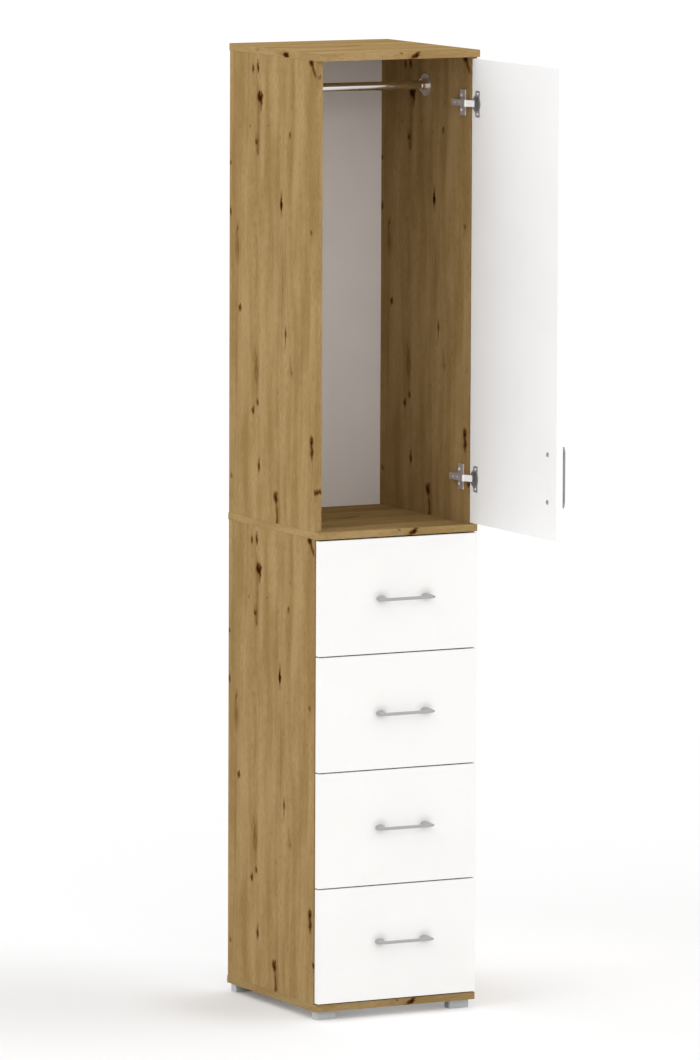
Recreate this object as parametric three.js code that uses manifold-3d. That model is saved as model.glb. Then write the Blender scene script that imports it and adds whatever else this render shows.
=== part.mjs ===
// A tall, narrow chifforobe: a hanging compartment with one door above four drawers.
// Lengths are in millimetres. +Z is up, -Y is the front and +X is the viewer's right.
// It is drawn with the door open and the drawers shut. The floor is at z = 0.
// Inside the cabinet group x = 0 is the middle of the boards and y = 0 is their front edge.

import * as THREE from 'three';
import { mergeVertices } from 'three/addons/utils/BufferGeometryUtils.js';
import Module from 'manifold-3d';

const wasm = await Module();
wasm.setup();

// Carcass
const cabinetWidth = 400;
const cabinetDepth = 440;
const boardThickness = 16;
const upperZoneHeight = 1041;
const lowerZoneHeight = 1041;
const frontOverhang = 14;
const backPanelThickness = 3;
const backPanelInset = 2;
const seatGap = 0.2;

// Feet
const footWidth = 50;
const footDepth = 25;
const footHeight = 20;
const footCornerRadius = 4;
const footSideInset = 7.5;
const footFrontInset = 13;
const footBackInset = 3;

// Door and drawer fronts
const frontThickness = 16;
const frontSideInset = 2;
const frontGap = 3;
const frontClearance = 2.5;
const drawerCount = 4;

// Drawer boxes and the strips that they run on
const drawerPlay = 2;
const drawerBoardThickness = 16;
const drawerBoxHeight = 170;
const drawerBoxLift = 35;
const drawerBoxLength = 400;
const drawerBottomThickness = 3;
const grooveShare = 0.5;
const runnerHeight = 16;
const runnerShortfall = 25;
const runnerFrontInset = 12;
const runnerPlay = 0.3;
const runnerTipPlay = 1;

// Handles
const handleLength = 136;
const handlePostSpacing = 112;
const handleScrewSpacing = 105;
const handleReach = 27;
const handleBarThickness = 5;
const handleBarHeight = 7;
const handleTipThickness = 2;
const handleTipHeight = 3.6;
const handleTipSetback = 1.2;
const handlePostLength = 24;
const handlePostHeight = 13;
const handlePostTopLength = 14.4;
const handlePostTopHeight = 6.4;
const handlePostLean = 4.5;
const drawerHandleShift = 12.5;
const drawerHandleDrop = 6;
const doorHandleEdgeInset = 39;
const doorHandleLift = 135.5;

// Screws of the door's handle
const screwHeadRadius = 4;
const screwHeadThickness = 2;
const screwShankRadius = 2;
const screwDepthInPost = 8;
const screwHoleClearance = 0.3;

// Hanging rail
const railRadius = 10;
const railWall = 1.2;
const railDrop = 74;
const railSetback = 222;
const railEndPlay = 0.5;
const flangeRadius = 25.5;
const flangeThickness = 3;
const socketRadius = 13;
const socketDepth = 12;
const socketPlay = 0.3;

// Concealed hinges
const hingeEndInset = 100;
const pivotEdgeInset = 4.5;
const pivotDepth = 8.5;
const cupRadius = 17.5;
const cupDepth = 11.5;
const cupWall = 0.8;
const cupPinRadius = 0.8;
const cupBorePlay = 0.2;
const cupEdgeInset = 19.5;
const cupRimRadius = 18.5;
const cupPlateThickness = 1;
const cupScrewSpacing = 45;
const cupScrewSetback = 7;
const cupScrewHoleRadius = 2;
const cupWingLength = 58;
const cupWingWidth = 17;
const linkRootInset = 11;
const linkRootSetback = 3.5;
const linkRootRadius = 2.8;
const linkPinRadius = 1.4;
const linkPoleOffset = 6.5;
const linkEyeRadius = 1.6;
const linkThickness = 2;
const linkWidth = 14.4;
const linkEyeWidth = 8;
const linkKneeReach = 20.5;
const linkKneeSide = 10.5;
const pinPlay = 0.3;
const earThickness = 1.5;
const earRadius = 3.2;
const armLength = 56;
const armWidth = 14;
const armHeadLength = 9;
const armWall = 1.6;
const armFrontGap = 1.3;
const plateThickness = 2.8;
const plateWingLength = 57;
const plateWingStart = 20.5;
const plateWingEnd = 44;
const plateLength = 30;
const plateSetback = 18;
const plateScrewSetback = 37;
const plateScrewSpacing = 32;
const plateScrewHoleRadius = 2.2;

// Angles, counts and one overrun for all cuts
const doorOpenAngle = Math.PI / 2;
const roundSegments = 32;
const smallRoundSegments = 16;
const postSegments = 24;
const cutOverrun = 1;

// Levels and planes that the sizes above settle
const halfWidth = cabinetWidth / 2;
const innerHalfWidth = halfWidth - boardThickness;
const bottomBoardTop = footHeight + boardThickness;
const midBoardBottom = bottomBoardTop + lowerZoneHeight;
const midBoardTop = midBoardBottom + boardThickness;
const topBoardBottom = midBoardTop + upperZoneHeight;
const backPanelFront = cabinetDepth - backPanelThickness;
const frontBackFace = frontOverhang - frontClearance;
const frontFace = frontBackFace - frontThickness;
const frontWidth = cabinetWidth - 2 * frontSideInset;
const drawerFrontHeight = (lowerZoneHeight - (drawerCount + 1) * frontGap) / drawerCount;
const drawerPitch = drawerFrontHeight + frontGap;
const doorBottom = midBoardTop + frontGap;
const doorHeight = upperZoneHeight - 2 * frontGap;
const hingeEdge = frontWidth / 2;

// Materials
function finish(color, roughness, metalness) {
  return new THREE.MeshStandardMaterial({ color, roughness, metalness });
}
const oak = finish(0xa88a5c, 0.55, 0);
const whiteBoard = finish(0xf4f3f1, 0.45, 0);
const whitePanel = finish(0xecebe8, 0.6, 0);
const drawerBoard = finish(0xe9e7e2, 0.6, 0);
const hardwood = finish(0xc9a878, 0.6, 0);
const chrome = finish(0xc8cacc, 0.15, 1);
const nickel = finish(0xbfc0c0, 0.3, 1);
const satinSteel = finish(0xa9a9a8, 0.4, 1);
const footGrey = finish(0xafb4b4, 0.4, 0.3);

// The cabinet group is moved so that the middle of the whole object's base, with the
// door open and its handle standing proud, lies at the origin.
const openDoorInnerFace = halfWidth - frontSideInset - pivotEdgeInset - pivotDepth;
const restRight = openDoorInnerFace + frontThickness + handleReach;
const pivotX = hingeEdge - pivotEdgeInset;
const pivotY = frontBackFace - pivotDepth;
const restFront = pivotY + pivotEdgeInset - frontWidth;
const cabinet = new THREE.Group();
cabinet.position.set((halfWidth - restRight) / 2, -(cabinetDepth + restFront) / 2, 0);

// The door group turns about the pole of the hinges. Its own x and y run as they do on
// the shut door, measured from that pole.
const door = new THREE.Group();
door.position.set(pivotX, pivotY, 0);
door.rotation.z = doorOpenAngle;
cabinet.add(door);

// Helpers
function addPiece(parent, name, geometry, material) {
  const piece = new THREE.Mesh(geometry, material);
  piece.name = name;
  parent.add(piece);
  return piece;
}

function boxBetween(low, high) {
  const size = high.map((value, axis) => value - low[axis]);
  const geometry = new THREE.BoxGeometry(...size);
  geometry.translate(...low.map((value, axis) => value + size[axis] / 2));
  return geometry;
}

function cylinderAlong(axis, radius, low, high, segments = roundSegments) {
  const geometry = new THREE.CylinderGeometry(radius, radius, high - low, segments);
  if (axis === 'x') geometry.rotateZ(-Math.PI / 2);
  if (axis === 'z') geometry.rotateX(Math.PI / 2);
  const middle = (low + high) / 2;
  geometry.translate(axis === 'x' ? middle : 0, axis === 'y' ? middle : 0, axis === 'z' ? middle : 0);
  return geometry;
}

function toSolid(geometry) {
  const bare = geometry.clone();
  bare.deleteAttribute('normal');
  bare.deleteAttribute('uv');
  const merged = mergeVertices(bare);
  const vertProperties = new Float32Array(merged.attributes.position.array);
  const triVerts = new Uint32Array(merged.index.array);
  return new wasm.Manifold(new wasm.Mesh({ numProp: 3, vertProperties, triVerts }));
}

function toGeometry(solid) {
  const mesh = solid.getMesh();
  const geometry = new THREE.BufferGeometry();
  geometry.setAttribute('position', new THREE.BufferAttribute(mesh.vertProperties, 3));
  geometry.setIndex(new THREE.BufferAttribute(mesh.triVerts, 1));
  geometry.computeVertexNormals();
  return geometry;
}

function joined(geometries) {
  return geometries.map(toSolid).reduce((whole, piece) => whole.add(piece));
}

function cutFrom(solid, geometries) {
  return geometries.map(toSolid).reduce((whole, piece) => whole.subtract(piece), solid);
}

function moved(geometry, x, y, z) {
  geometry.translate(x, y, z);
  return geometry;
}

// Carcass: three boards across the whole width, with the sides standing between them
function addBoard(name, bottom) {
  const low = [-halfWidth, 0, bottom];
  const high = [halfWidth, cabinetDepth, bottom + boardThickness];
  addPiece(cabinet, name, boxBetween(low, high), oak);
}
addBoard('bottom_board', footHeight);
addBoard('mid_board', midBoardBottom);
addBoard('top_board', topBoardBottom);

function addSide(name, side, bottom, height) {
  const inner = side * innerHalfWidth;
  const outer = side * halfWidth;
  const low = [Math.min(inner, outer), frontOverhang, bottom + seatGap];
  const high = [Math.max(inner, outer), backPanelFront - seatGap, bottom + height - seatGap];
  addPiece(cabinet, name, boxBetween(low, high), oak);
}

function addBackPanel(name, bottom, height) {
  const low = [-halfWidth + backPanelInset, backPanelFront, bottom + seatGap];
  const high = [halfWidth - backPanelInset, cabinetDepth, bottom + height - seatGap];
  addPiece(cabinet, name, boxBetween(low, high), whitePanel);
}
const sides = [['left', -1], ['right', 1]];
for (const [word, side] of sides) {
  addSide(`lower_${word}_side`, side, bottomBoardTop, lowerZoneHeight);
  addSide(`upper_${word}_side`, side, midBoardTop, upperZoneHeight);
}
addBackPanel('lower_back_panel', bottomBoardTop, lowerZoneHeight);
addBackPanel('upper_back_panel', midBoardTop, upperZoneHeight);

// Feet: low blocks with rounded upright edges, under the corners of the bottom board
function roundedRectangle(width, depth, radius) {
  const x = width / 2;
  const y = depth / 2;
  const shape = new THREE.Shape();
  shape.absarc(x - radius, y - radius, radius, 0, Math.PI / 2);
  shape.absarc(-x + radius, y - radius, radius, Math.PI / 2, Math.PI);
  shape.absarc(-x + radius, -y + radius, radius, Math.PI, Math.PI * 1.5);
  shape.absarc(x - radius, -y + radius, radius, Math.PI * 1.5, Math.PI * 2);
  shape.closePath();
  return shape;
}

function addFoot(name, side, middleY) {
  const outline = roundedRectangle(footWidth, footDepth, footCornerRadius);
  const options = { depth: footHeight - seatGap, bevelEnabled: false, curveSegments: 6 };
  const foot = addPiece(cabinet, name, new THREE.ExtrudeGeometry(outline, options), footGrey);
  foot.position.set(side * (halfWidth - footSideInset - footWidth / 2), middleY, 0);
}
for (const [word, side] of sides) {
  addFoot(`front_${word}_foot`, side, footFrontInset + footDepth / 2);
  addFoot(`back_${word}_foot`, side, cabinetDepth - footBackInset - footDepth / 2);
}

// Handle: a slim bar with pointed ends on two oval posts that lean out to its tips. It is
// drawn lying along x and standing out along -y, with its back on y = 0.
function handleBarSolid() {
  const tip = handleLength / 2;
  const shoulder = handlePostSpacing / 2;
  const outer = -handleReach;
  const inner = outer + handleBarThickness;
  const tipOuter = outer + handleTipSetback;
  const tipInner = tipOuter + handleTipThickness;
  const seenFromAbove = [
    [-tip, tipOuter], [-shoulder, outer], [shoulder, outer], [tip, tipOuter],
    [tip, tipInner], [shoulder, inner], [-shoulder, inner], [-tip, tipInner],
  ];
  const half = handleBarHeight / 2;
  const tipHalf = handleTipHeight / 2;
  const seenFromFront = [
    [-tip, -tipHalf], [-shoulder, -half], [shoulder, -half], [tip, -tipHalf],
    [tip, tipHalf], [shoulder, half], [-shoulder, half], [-tip, tipHalf],
  ];
  const profile = (corners, depth) => {
    const outline = new THREE.Shape(corners.map(([x, y]) => new THREE.Vector2(x, y)));
    return new THREE.ExtrudeGeometry(outline, { depth, bevelEnabled: false });
  };
  const level = moved(profile(seenFromAbove, handleBarHeight), 0, 0, -half);
  const upright = profile(seenFromFront, handleReach);
  upright.rotateX(Math.PI / 2);
  return toSolid(level).intersect(toSolid(upright));
}

function handlePostGeometry(end) {
  const top = handleReach - handleBarThickness / 2;
  const post = new THREE.CylinderGeometry(1, 1, top - seatGap, postSegments);
  post.translate(0, -(top + seatGap) / 2, 0);
  const points = post.attributes.position;
  for (let index = 0; index < points.count; index += 1) {
    const rise = (-points.getY(index) - seatGap) / (top - seatGap);
    const length = THREE.MathUtils.lerp(handlePostLength, handlePostTopLength, rise);
    const height = THREE.MathUtils.lerp(handlePostHeight, handlePostTopHeight, rise);
    const middle = end * (handlePostSpacing / 2 + handlePostLean * rise);
    points.setX(index, middle + points.getX(index) * length / 2);
    points.setZ(index, points.getZ(index) * height / 2);
  }
  return post;
}

function handleSolid() {
  return joined([handlePostGeometry(-1), handlePostGeometry(1)]).add(handleBarSolid());
}

// Drawers: a front, two grooved sides, a back, a nailed-on bottom and a handle each.
// The grooves ride on strips that are screwed to the lower sides of the cabinet.
const drawerHalfWidth = innerHalfWidth - drawerPlay;
const drawerSideFront = frontBackFace + seatGap;
const drawerSideBack = drawerSideFront + drawerBoxLength;
const grooveHeight = runnerHeight + 2 * runnerPlay;
const grooveDepth = grooveShare * drawerBoardThickness;
const runnerThickness = grooveDepth + drawerPlay - runnerTipPlay;
const runnerLength = drawerBoxLength - runnerShortfall;

function drawerSideGeometry(side, bottom) {
  const inner = drawerHalfWidth - drawerBoardThickness;
  const floor = drawerHalfWidth - grooveDepth;
  const top = bottom + drawerBoxHeight;
  const grooveBottom = bottom + (drawerBoxHeight - grooveHeight) / 2;
  const grooveTop = grooveBottom + grooveHeight;
  const section = new THREE.Shape();
  section.moveTo(inner, bottom);
  section.lineTo(drawerHalfWidth, bottom);
  section.lineTo(drawerHalfWidth, grooveBottom);
  section.lineTo(floor, grooveBottom);
  section.lineTo(floor, grooveTop);
  section.lineTo(drawerHalfWidth, grooveTop);
  section.lineTo(drawerHalfWidth, top);
  section.lineTo(inner, top);
  section.closePath();
  const geometry = new THREE.ExtrudeGeometry(section, { depth: drawerBoxLength, bevelEnabled: false });
  geometry.rotateX(Math.PI / 2);
  geometry.translate(0, drawerSideBack, 0);
  if (side < 0) geometry.rotateZ(Math.PI).translate(0, drawerSideFront + drawerSideBack, 0);
  return geometry;
}

function addRunner(name, side, middleZ) {
  const low = Math.min(side * (innerHalfWidth - seatGap), side * (innerHalfWidth - runnerThickness));
  const high = Math.max(side * (innerHalfWidth - seatGap), side * (innerHalfWidth - runnerThickness));
  const start = frontOverhang + runnerFrontInset;
  const bottom = middleZ - runnerHeight / 2;
  const geometry = boxBetween([low, start, bottom], [high, start + runnerLength, bottom + runnerHeight]);
  addPiece(cabinet, name, geometry, hardwood);
}

function addDrawer(number, frontBottom) {
  const boxBottom = frontBottom + drawerBoxLift;
  const boxTop = boxBottom + drawerBoxHeight;
  const name = (word) => `drawer_${number}_${word}`;
  const frontLow = [-frontWidth / 2, frontFace, frontBottom];
  const frontHigh = [frontWidth / 2, frontBackFace, frontBottom + drawerFrontHeight];
  addPiece(cabinet, name('front'), boxBetween(frontLow, frontHigh), whiteBoard);
  for (const [word, side] of sides) {
    addPiece(cabinet, name(`${word}_side`), drawerSideGeometry(side, boxBottom), drawerBoard);
    addRunner(`runner_${number}_${word}`, side, boxBottom + drawerBoxHeight / 2);
  }
  const backHalf = drawerHalfWidth - drawerBoardThickness - seatGap;
  const backLow = [-backHalf, drawerSideBack - drawerBoardThickness, boxBottom];
  const backHigh = [backHalf, drawerSideBack, boxTop];
  addPiece(cabinet, name('back'), boxBetween(backLow, backHigh), drawerBoard);
  const bottomTop = boxBottom - seatGap;
  const bottomLow = [-drawerHalfWidth, drawerSideFront, bottomTop - drawerBottomThickness];
  const bottomHigh = [drawerHalfWidth, drawerSideBack, bottomTop];
  addPiece(cabinet, name('bottom'), boxBetween(bottomLow, bottomHigh), whitePanel);
  const handle = addPiece(cabinet, name('handle'), toGeometry(handleSolid()), satinSteel);
  const handleDrop = drawerHandleDrop - (number - 1) * frontGap;
  handle.position.set(drawerHandleShift, frontFace, frontBottom + drawerFrontHeight / 2 - handleDrop);
}
for (let number = 1; number <= drawerCount; number += 1) {
  addDrawer(number, midBoardBottom - number * drawerPitch);
}

// Hanging rail: a round tube held in a flanged socket at each side
const railX = innerHalfWidth - seatGap - flangeThickness - railEndPlay;
const railZ = topBoardBottom - railDrop;
const railProfile = [
  new THREE.Vector2(railRadius - railWall, -railX),
  new THREE.Vector2(railRadius, -railX),
  new THREE.Vector2(railRadius, railX),
  new THREE.Vector2(railRadius - railWall, railX),
  new THREE.Vector2(railRadius - railWall, -railX),
];
const railGeometry = new THREE.LatheGeometry(railProfile, roundSegments);
railGeometry.rotateZ(Math.PI / 2);
const rail = addPiece(cabinet, 'hanging_rail', railGeometry, chrome);
rail.position.set(0, railSetback, railZ);

function addRailFlange(name, side) {
  const bore = railRadius + socketPlay;
  const profile = [
    new THREE.Vector2(0, 0),
    new THREE.Vector2(flangeRadius, 0),
    new THREE.Vector2(flangeRadius, flangeThickness),
    new THREE.Vector2(socketRadius, flangeThickness),
    new THREE.Vector2(socketRadius, flangeThickness + socketDepth),
    new THREE.Vector2(bore, flangeThickness + socketDepth),
    new THREE.Vector2(bore, flangeThickness),
    new THREE.Vector2(0, flangeThickness),
  ];
  const geometry = new THREE.LatheGeometry(profile, roundSegments);
  geometry.rotateZ(side * Math.PI / 2);
  const flange = addPiece(cabinet, name, geometry, chrome);
  flange.position.set(side * (innerHalfWidth - seatGap), railSetback, railZ);
}
for (const [word, side] of sides) addRailFlange(`rail_flange_${word}`, side);

// Places of the hinges and of the door's pieces on the shut door, from the pole
const doorInnerFace = frontBackFace - pivotY;
const doorOuterFace = frontFace - pivotY;
const doorHingeEdge = hingeEdge - pivotX;
const doorFreeEdge = doorHingeEdge - frontWidth;
const cupX = doorHingeEdge - cupEdgeInset;
const linkRootX = innerHalfWidth - linkRootInset;
const linkRootY = frontOverhang + linkRootSetback;
const rootAngle = Math.atan2(linkRootY - pivotY, linkRootX - pivotX);
const shutTipAngle = rootAngle - doorOpenAngle / 2;
const openTipAngle = rootAngle + doorOpenAngle / 2;
const hingeLevels = [
  ['top', doorBottom + doorHeight - hingeEndInset],
  ['bottom', doorBottom + hingeEndInset],
];
const doorHandleX = doorFreeEdge + doorHandleEdgeInset;
const doorHandleZ = doorBottom + doorHandleLift;
const handleScrewLevels = [
  ['upper', doorHandleZ + handleScrewSpacing / 2],
  ['lower', doorHandleZ - handleScrewSpacing / 2],
];

// Door panel, with a blind bore for each hinge cup and a hole for each handle screw
function doorPanelGeometry() {
  const low = [doorFreeEdge, doorOuterFace, doorBottom];
  const high = [doorHingeEdge, doorInnerFace, doorBottom + doorHeight];
  const bores = hingeLevels.map(([, level]) => {
    const floor = doorInnerFace - cupDepth - seatGap;
    const bore = cylinderAlong('y', cupRadius + cupBorePlay, floor, doorInnerFace + cutOverrun);
    return moved(bore, cupX, 0, level);
  });
  const holes = handleScrewLevels.map(([, level]) => {
    const radius = screwShankRadius + screwHoleClearance;
    const hole = cylinderAlong('y', radius, doorOuterFace - cutOverrun, doorInnerFace + cutOverrun,
      smallRoundSegments);
    return moved(hole, doorHandleX, 0, level);
  });
  return toGeometry(cutFrom(toSolid(boxBetween(low, high)), [...bores, ...holes]));
}
addPiece(door, 'door_panel', doorPanelGeometry(), whiteBoard);

// Door handle: upright near the bottom free corner, with two screws from the inside
function doorHandleGeometry() {
  const radius = screwShankRadius + screwHoleClearance;
  const bores = [-1, 1].map((end) => {
    const bore = cylinderAlong('y', radius, -screwDepthInPost - screwHoleClearance, cutOverrun,
      smallRoundSegments);
    return moved(bore, end * handleScrewSpacing / 2, 0, 0);
  });
  const geometry = toGeometry(cutFrom(handleSolid(), bores));
  geometry.rotateY(Math.PI / 2);
  return geometry;
}
const doorHandle = addPiece(door, 'door_handle', doorHandleGeometry(), satinSteel);
doorHandle.position.set(doorHandleX, doorOuterFace, doorHandleZ);

function handleScrewGeometry() {
  const shankFront = doorOuterFace - screwDepthInPost;
  const headBack = doorInnerFace + seatGap + screwHeadThickness;
  const shank = cylinderAlong('y', screwShankRadius, shankFront, headBack, smallRoundSegments);
  const head = cylinderAlong('y', screwHeadRadius, doorInnerFace + seatGap, headBack, smallRoundSegments);
  return toGeometry(joined([shank, head]));
}
for (const [word, level] of handleScrewLevels) {
  const screw = addPiece(door, `door_handle_screw_${word}`, handleScrewGeometry(), nickel);
  screw.position.set(doorHandleX, 0, level);
}

// Hinge cup: a round cup let into the door, with a thin rim and two screw wings
function cupWingGeometry() {
  const end = cupWingLength / 2;
  const wing = cupWingWidth / 2;
  const outline = new THREE.Shape();
  outline.moveTo(-wing, -end);
  outline.lineTo(wing, -end);
  outline.lineTo(cupRimRadius, 0);
  outline.lineTo(wing, end);
  outline.lineTo(-wing, end);
  outline.closePath();
  for (const place of [-1, 1]) {
    const hole = new THREE.Path();
    hole.absarc(0, place * cupScrewSpacing / 2, cupScrewHoleRadius, 0, Math.PI * 2);
    outline.holes.push(hole);
  }
  const options = { depth: cupPlateThickness, bevelEnabled: false, curveSegments: 8 };
  const geometry = new THREE.ExtrudeGeometry(outline, options);
  geometry.rotateX(Math.PI / 2);
  return moved(geometry, -cupScrewSetback, doorInnerFace + seatGap + cupPlateThickness, 0);
}

function cupGeometry() {
  const bottom = doorInnerFace - cupDepth;
  const rimBottom = doorInnerFace + seatGap;
  const rimTop = rimBottom + cupPlateThickness;
  const shell = cylinderAlong('y', cupRadius, bottom, rimTop);
  const rim = cylinderAlong('y', cupRimRadius, rimBottom, rimTop);
  const hollow = cylinderAlong('y', cupRadius - cupWall, bottom + cupWall, rimTop + cutOverrun);
  const cup = cutFrom(joined([shell, rim, cupWingGeometry()]), [hollow]);
  const pin = cylinderAlong('z', cupPinRadius, -cupRadius, cupRadius, smallRoundSegments);
  const placedPin = toSolid(moved(pin, linkPoleOffset * Math.cos(shutTipAngle) - cupX,
    linkPoleOffset * Math.sin(shutTipAngle), 0));
  return toGeometry(cup.add(placedPin.intersect(toSolid(shell))));
}

// Hinge link: a cranked strap from the root pin in the arm to the eye on the cup's pin.
// The pin lies where the shut and the open door keep it equally far from the root.
function strapGeometry(from, to, width) {
  const length = Math.hypot(to[0] - from[0], to[1] - from[1]);
  const strap = new THREE.BoxGeometry(length, linkThickness, width);
  strap.rotateZ(Math.atan2(to[1] - from[1], to[0] - from[0]));
  return moved(strap, (from[0] + to[0]) / 2, (from[1] + to[1]) / 2, 0);
}

function barrelGeometry([x, y], radius, width) {
  return moved(cylinderAlong('z', radius, -width / 2, width / 2, smallRoundSegments), x, y, 0);
}

function linkGeometry() {
  const root = [0, 0];
  const knee = [linkKneeSide, -linkKneeReach];
  const tip = [
    pivotX + linkPoleOffset * Math.cos(openTipAngle) - linkRootX,
    pivotY + linkPoleOffset * Math.sin(openTipAngle) - linkRootY,
  ];
  const strap = joined([
    barrelGeometry(root, linkRootRadius, linkWidth),
    barrelGeometry(root, linkPinRadius, linkWidth + 2 * (pinPlay + earThickness)),
    strapGeometry(root, knee, linkWidth),
    barrelGeometry(knee, linkThickness / 2, linkWidth),
    strapGeometry(knee, tip, linkEyeWidth),
    barrelGeometry(tip, linkEyeRadius, linkEyeWidth),
  ]);
  return toGeometry(cutFrom(strap, [barrelGeometry(tip, cupPinRadius + pinPlay, linkWidth)]));
}

// Hinge arm: a channel that is clipped over the mounting plate, with two ears for the link
function armGeometry() {
  const earLow = linkWidth / 2 + pinPlay;
  const earHigh = earLow + earThickness;
  const start = linkRootRadius + armFrontGap;
  const end = start + armLength;
  const base = linkRootInset - plateThickness - 2 * seatGap;
  const pieces = [
    boxBetween([-earRadius, start, -armWidth / 2], [base, end, armWidth / 2]),
    boxBetween([-earRadius, start, -earHigh], [base, start + armHeadLength, earHigh]),
  ];
  const cuts = [boxBetween(
    [-earRadius + armWall, start + armWall, -armWidth / 2 + armWall],
    [base + cutOverrun, end + cutOverrun, armWidth / 2 - armWall],
  )];
  for (const low of [-earHigh, earLow]) {
    const high = low + earThickness;
    pieces.push(cylinderAlong('z', earRadius, low, high, smallRoundSegments));
    pieces.push(boxBetween([-earRadius, 0, low], [earRadius, start + armWall, high]));
  }
  cuts.push(cylinderAlong('z', linkPinRadius + pinPlay, -earHigh - cutOverrun, earHigh + cutOverrun,
    smallRoundSegments));
  return toGeometry(cutFrom(joined(pieces), cuts));
}

// Mounting plate: a flat cross on the cabinet side, with its screw wings up and down
function plateGeometry() {
  const start = plateSetback;
  const middle = armWidth / 2;
  const end = plateWingLength / 2;
  const outline = new THREE.Shape();
  outline.moveTo(start, -middle);
  outline.lineTo(plateWingStart, -middle);
  outline.lineTo(plateWingStart, -end);
  outline.lineTo(plateWingEnd, -end);
  outline.lineTo(plateWingEnd, -middle);
  outline.lineTo(start + plateLength, -middle);
  outline.lineTo(start + plateLength, middle);
  outline.lineTo(plateWingEnd, middle);
  outline.lineTo(plateWingEnd, end);
  outline.lineTo(plateWingStart, end);
  outline.lineTo(plateWingStart, middle);
  outline.lineTo(start, middle);
  outline.closePath();
  for (const place of [-1, 1]) {
    const hole = new THREE.Path();
    hole.absarc(plateScrewSetback, place * plateScrewSpacing / 2, plateScrewHoleRadius, 0, Math.PI * 2);
    outline.holes.push(hole);
  }
  const options = { depth: plateThickness, bevelEnabled: false, curveSegments: 8 };
  const geometry = new THREE.ExtrudeGeometry(outline, options);
  geometry.rotateX(Math.PI / 2);
  geometry.rotateZ(Math.PI / 2);
  return geometry;
}

for (const [word, level] of hingeLevels) {
  const cup = addPiece(door, `hinge_cup_${word}`, cupGeometry(), nickel);
  cup.position.set(cupX, 0, level);
  const link = addPiece(cabinet, `hinge_link_${word}`, linkGeometry(), nickel);
  link.position.set(linkRootX, linkRootY, level);
  const arm = addPiece(cabinet, `hinge_arm_${word}`, armGeometry(), nickel);
  arm.position.set(linkRootX, linkRootY, level);
  const plate = addPiece(cabinet, `hinge_plate_${word}`, plateGeometry(), nickel);
  plate.position.set(innerHalfWidth - seatGap - plateThickness, frontOverhang, level);
}

const chifforobe = new THREE.Group();
chifforobe.add(cabinet);

export default chifforobe;
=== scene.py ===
# Looks of the chifforobe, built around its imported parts. Lengths are in metres, apart from the
# places and sizes of spots, which are in millimetres.
import math

import bmesh
import bpy
from mathutils import Matrix, Vector


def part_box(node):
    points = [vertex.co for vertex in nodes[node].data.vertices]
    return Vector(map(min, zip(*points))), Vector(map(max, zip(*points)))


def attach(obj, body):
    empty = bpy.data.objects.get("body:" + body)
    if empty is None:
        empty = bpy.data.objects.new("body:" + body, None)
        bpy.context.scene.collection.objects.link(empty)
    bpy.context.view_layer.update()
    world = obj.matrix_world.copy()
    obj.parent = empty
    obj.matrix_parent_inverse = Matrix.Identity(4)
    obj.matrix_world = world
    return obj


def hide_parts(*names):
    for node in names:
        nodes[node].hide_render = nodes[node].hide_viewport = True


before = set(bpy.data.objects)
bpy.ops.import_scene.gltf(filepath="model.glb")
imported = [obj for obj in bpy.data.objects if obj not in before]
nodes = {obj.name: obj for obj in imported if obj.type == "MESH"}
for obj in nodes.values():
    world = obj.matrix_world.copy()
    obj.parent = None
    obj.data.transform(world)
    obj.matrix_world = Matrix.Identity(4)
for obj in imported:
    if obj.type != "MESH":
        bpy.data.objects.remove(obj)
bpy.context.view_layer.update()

MM = 0.001
DRAWERS = (1, 2, 3, 4)
HINGES = ("top", "bottom")
# Pieces in pairs, with the way that each lies from the middle, along x and along z
SIDES = {"left": -1, "right": 1}
HEIGHTS = {"upper": 1, "lower": -1}

# Camera, found by matching the corners of the photographed cupboard. The picture's height and
# the focal length are in pixels, and the sensor is in millimetres.
IMAGE_HEIGHT = 1060
FOCAL_PIXELS = 8315
SENSOR = 36
CAMERA_AZIMUTH = math.radians(27.545)
CAMERA_PITCH = math.radians(6.81)
CAMERA_ROLL = math.radians(-0.238)
CAMERA_FROM_BOARD = Vector((-8.56, -16.182, 3.2755))
CAMERA_FARTHEST = 200

board_low, board_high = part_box("top_board")
board_middle_front = Vector(((board_low.x + board_high.x) / 2, board_low.y, 0))


def add_camera():
    forward = Vector((
        math.sin(CAMERA_AZIMUTH) * math.cos(CAMERA_PITCH),
        math.cos(CAMERA_AZIMUTH) * math.cos(CAMERA_PITCH),
        -math.sin(CAMERA_PITCH),
    ))
    level_right = Vector((math.cos(CAMERA_AZIMUTH), -math.sin(CAMERA_AZIMUTH), 0))
    level_down = forward.cross(level_right)
    right = math.cos(CAMERA_ROLL) * level_right + math.sin(CAMERA_ROLL) * level_down
    down = -math.sin(CAMERA_ROLL) * level_right + math.cos(CAMERA_ROLL) * level_down
    turn = Matrix((right, -down, -forward)).transposed().to_4x4()
    data = bpy.data.cameras.new("camera")
    data.sensor_width = SENSOR
    data.lens = FOCAL_PIXELS / IMAGE_HEIGHT * SENSOR
    data.clip_end = CAMERA_FARTHEST
    camera = bpy.data.objects.new("camera", data)
    camera.matrix_world = Matrix.Translation(board_middle_front + CAMERA_FROM_BOARD) @ turn
    bpy.context.scene.collection.objects.link(camera)
    bpy.context.scene.camera = camera


add_camera()

# Inputs A and B and the output of a Mix node, for each kind of data
MIX_SOCKETS = {"RGBA": (6, 7, 2), "VECTOR": (4, 5, 1)}


def linear(red, green, blue):
    """A colour given as it shows on a screen, from 0 to 255, as linear light with alpha."""
    shares = [value / 255 for value in (red, green, blue)]
    return [s / 12.92 if s <= 0.04045 else ((s + 0.055) / 1.055) ** 2.4 for s in shares] + [1]


def shaded(color, share):
    return [value * share for value in color[:3]] + [1]


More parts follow.
